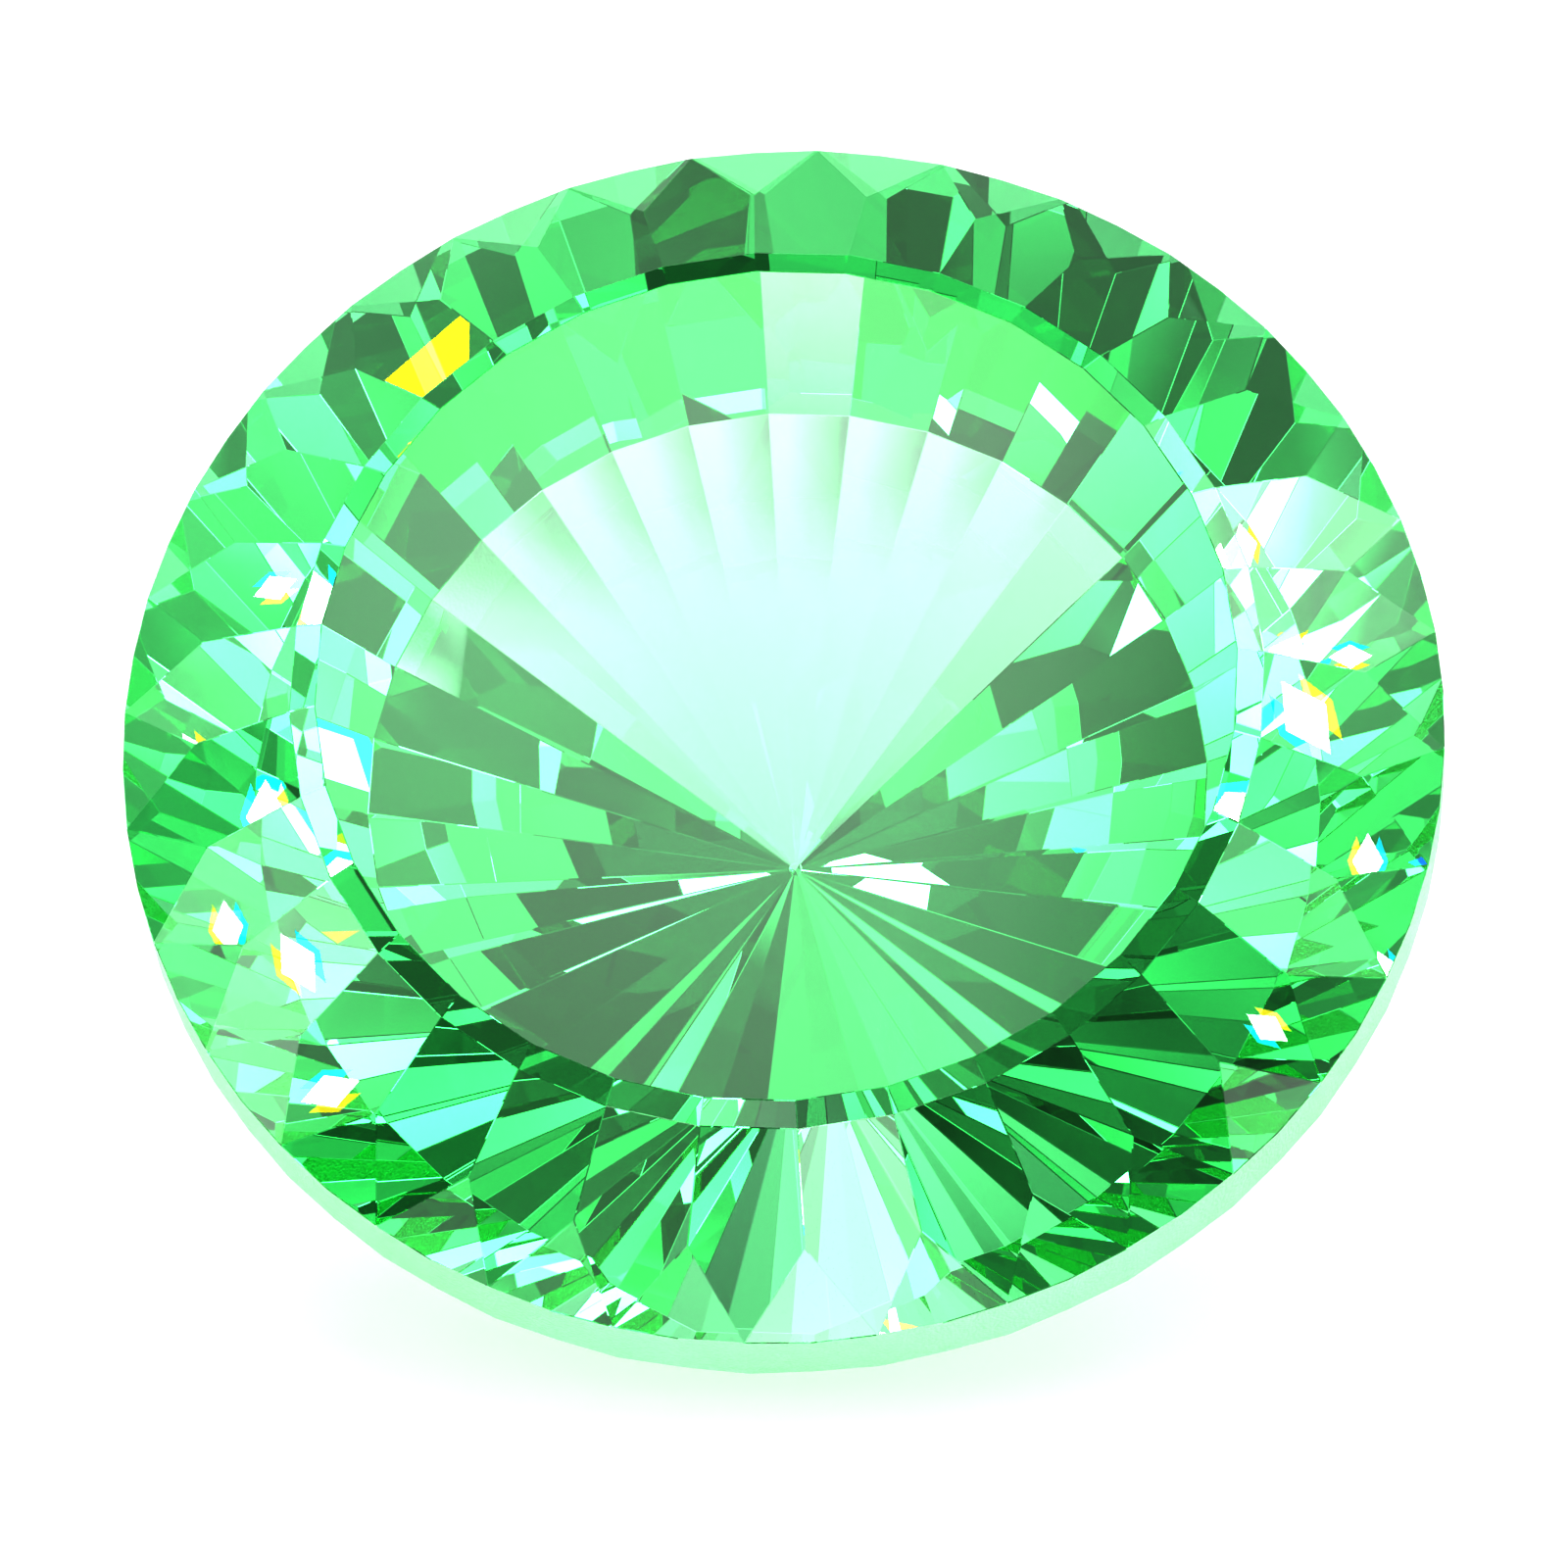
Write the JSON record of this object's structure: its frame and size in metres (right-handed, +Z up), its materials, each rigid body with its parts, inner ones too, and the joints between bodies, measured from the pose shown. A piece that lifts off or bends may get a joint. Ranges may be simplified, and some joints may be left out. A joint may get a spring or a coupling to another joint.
{
  "type": "faceted gemstone",
  "caption": "Loose round cut gemstone with a flat table, faceted crown, frosted girdle and pointed faceted pavilion, lying on a pavilion facet.",
  "frame": {"origin": "on the surface the stone lies on, under the middle of its bounding box", "axes": "+Z up, out of the surface the stone lies on; the stone's own axis leans 43.2 degrees from +Z towards -Y, so the table faces -Y and up"},
  "size_m": [0.012, 0.0094, 0.009],
  "materials": {
    "green_crystal": "clear vivid green crystal, polished facets, pale frosted girdle"
  },
  "bodies": {
    "root": {"cut_stone": "green_crystal"}
  },
  "joints": []
}
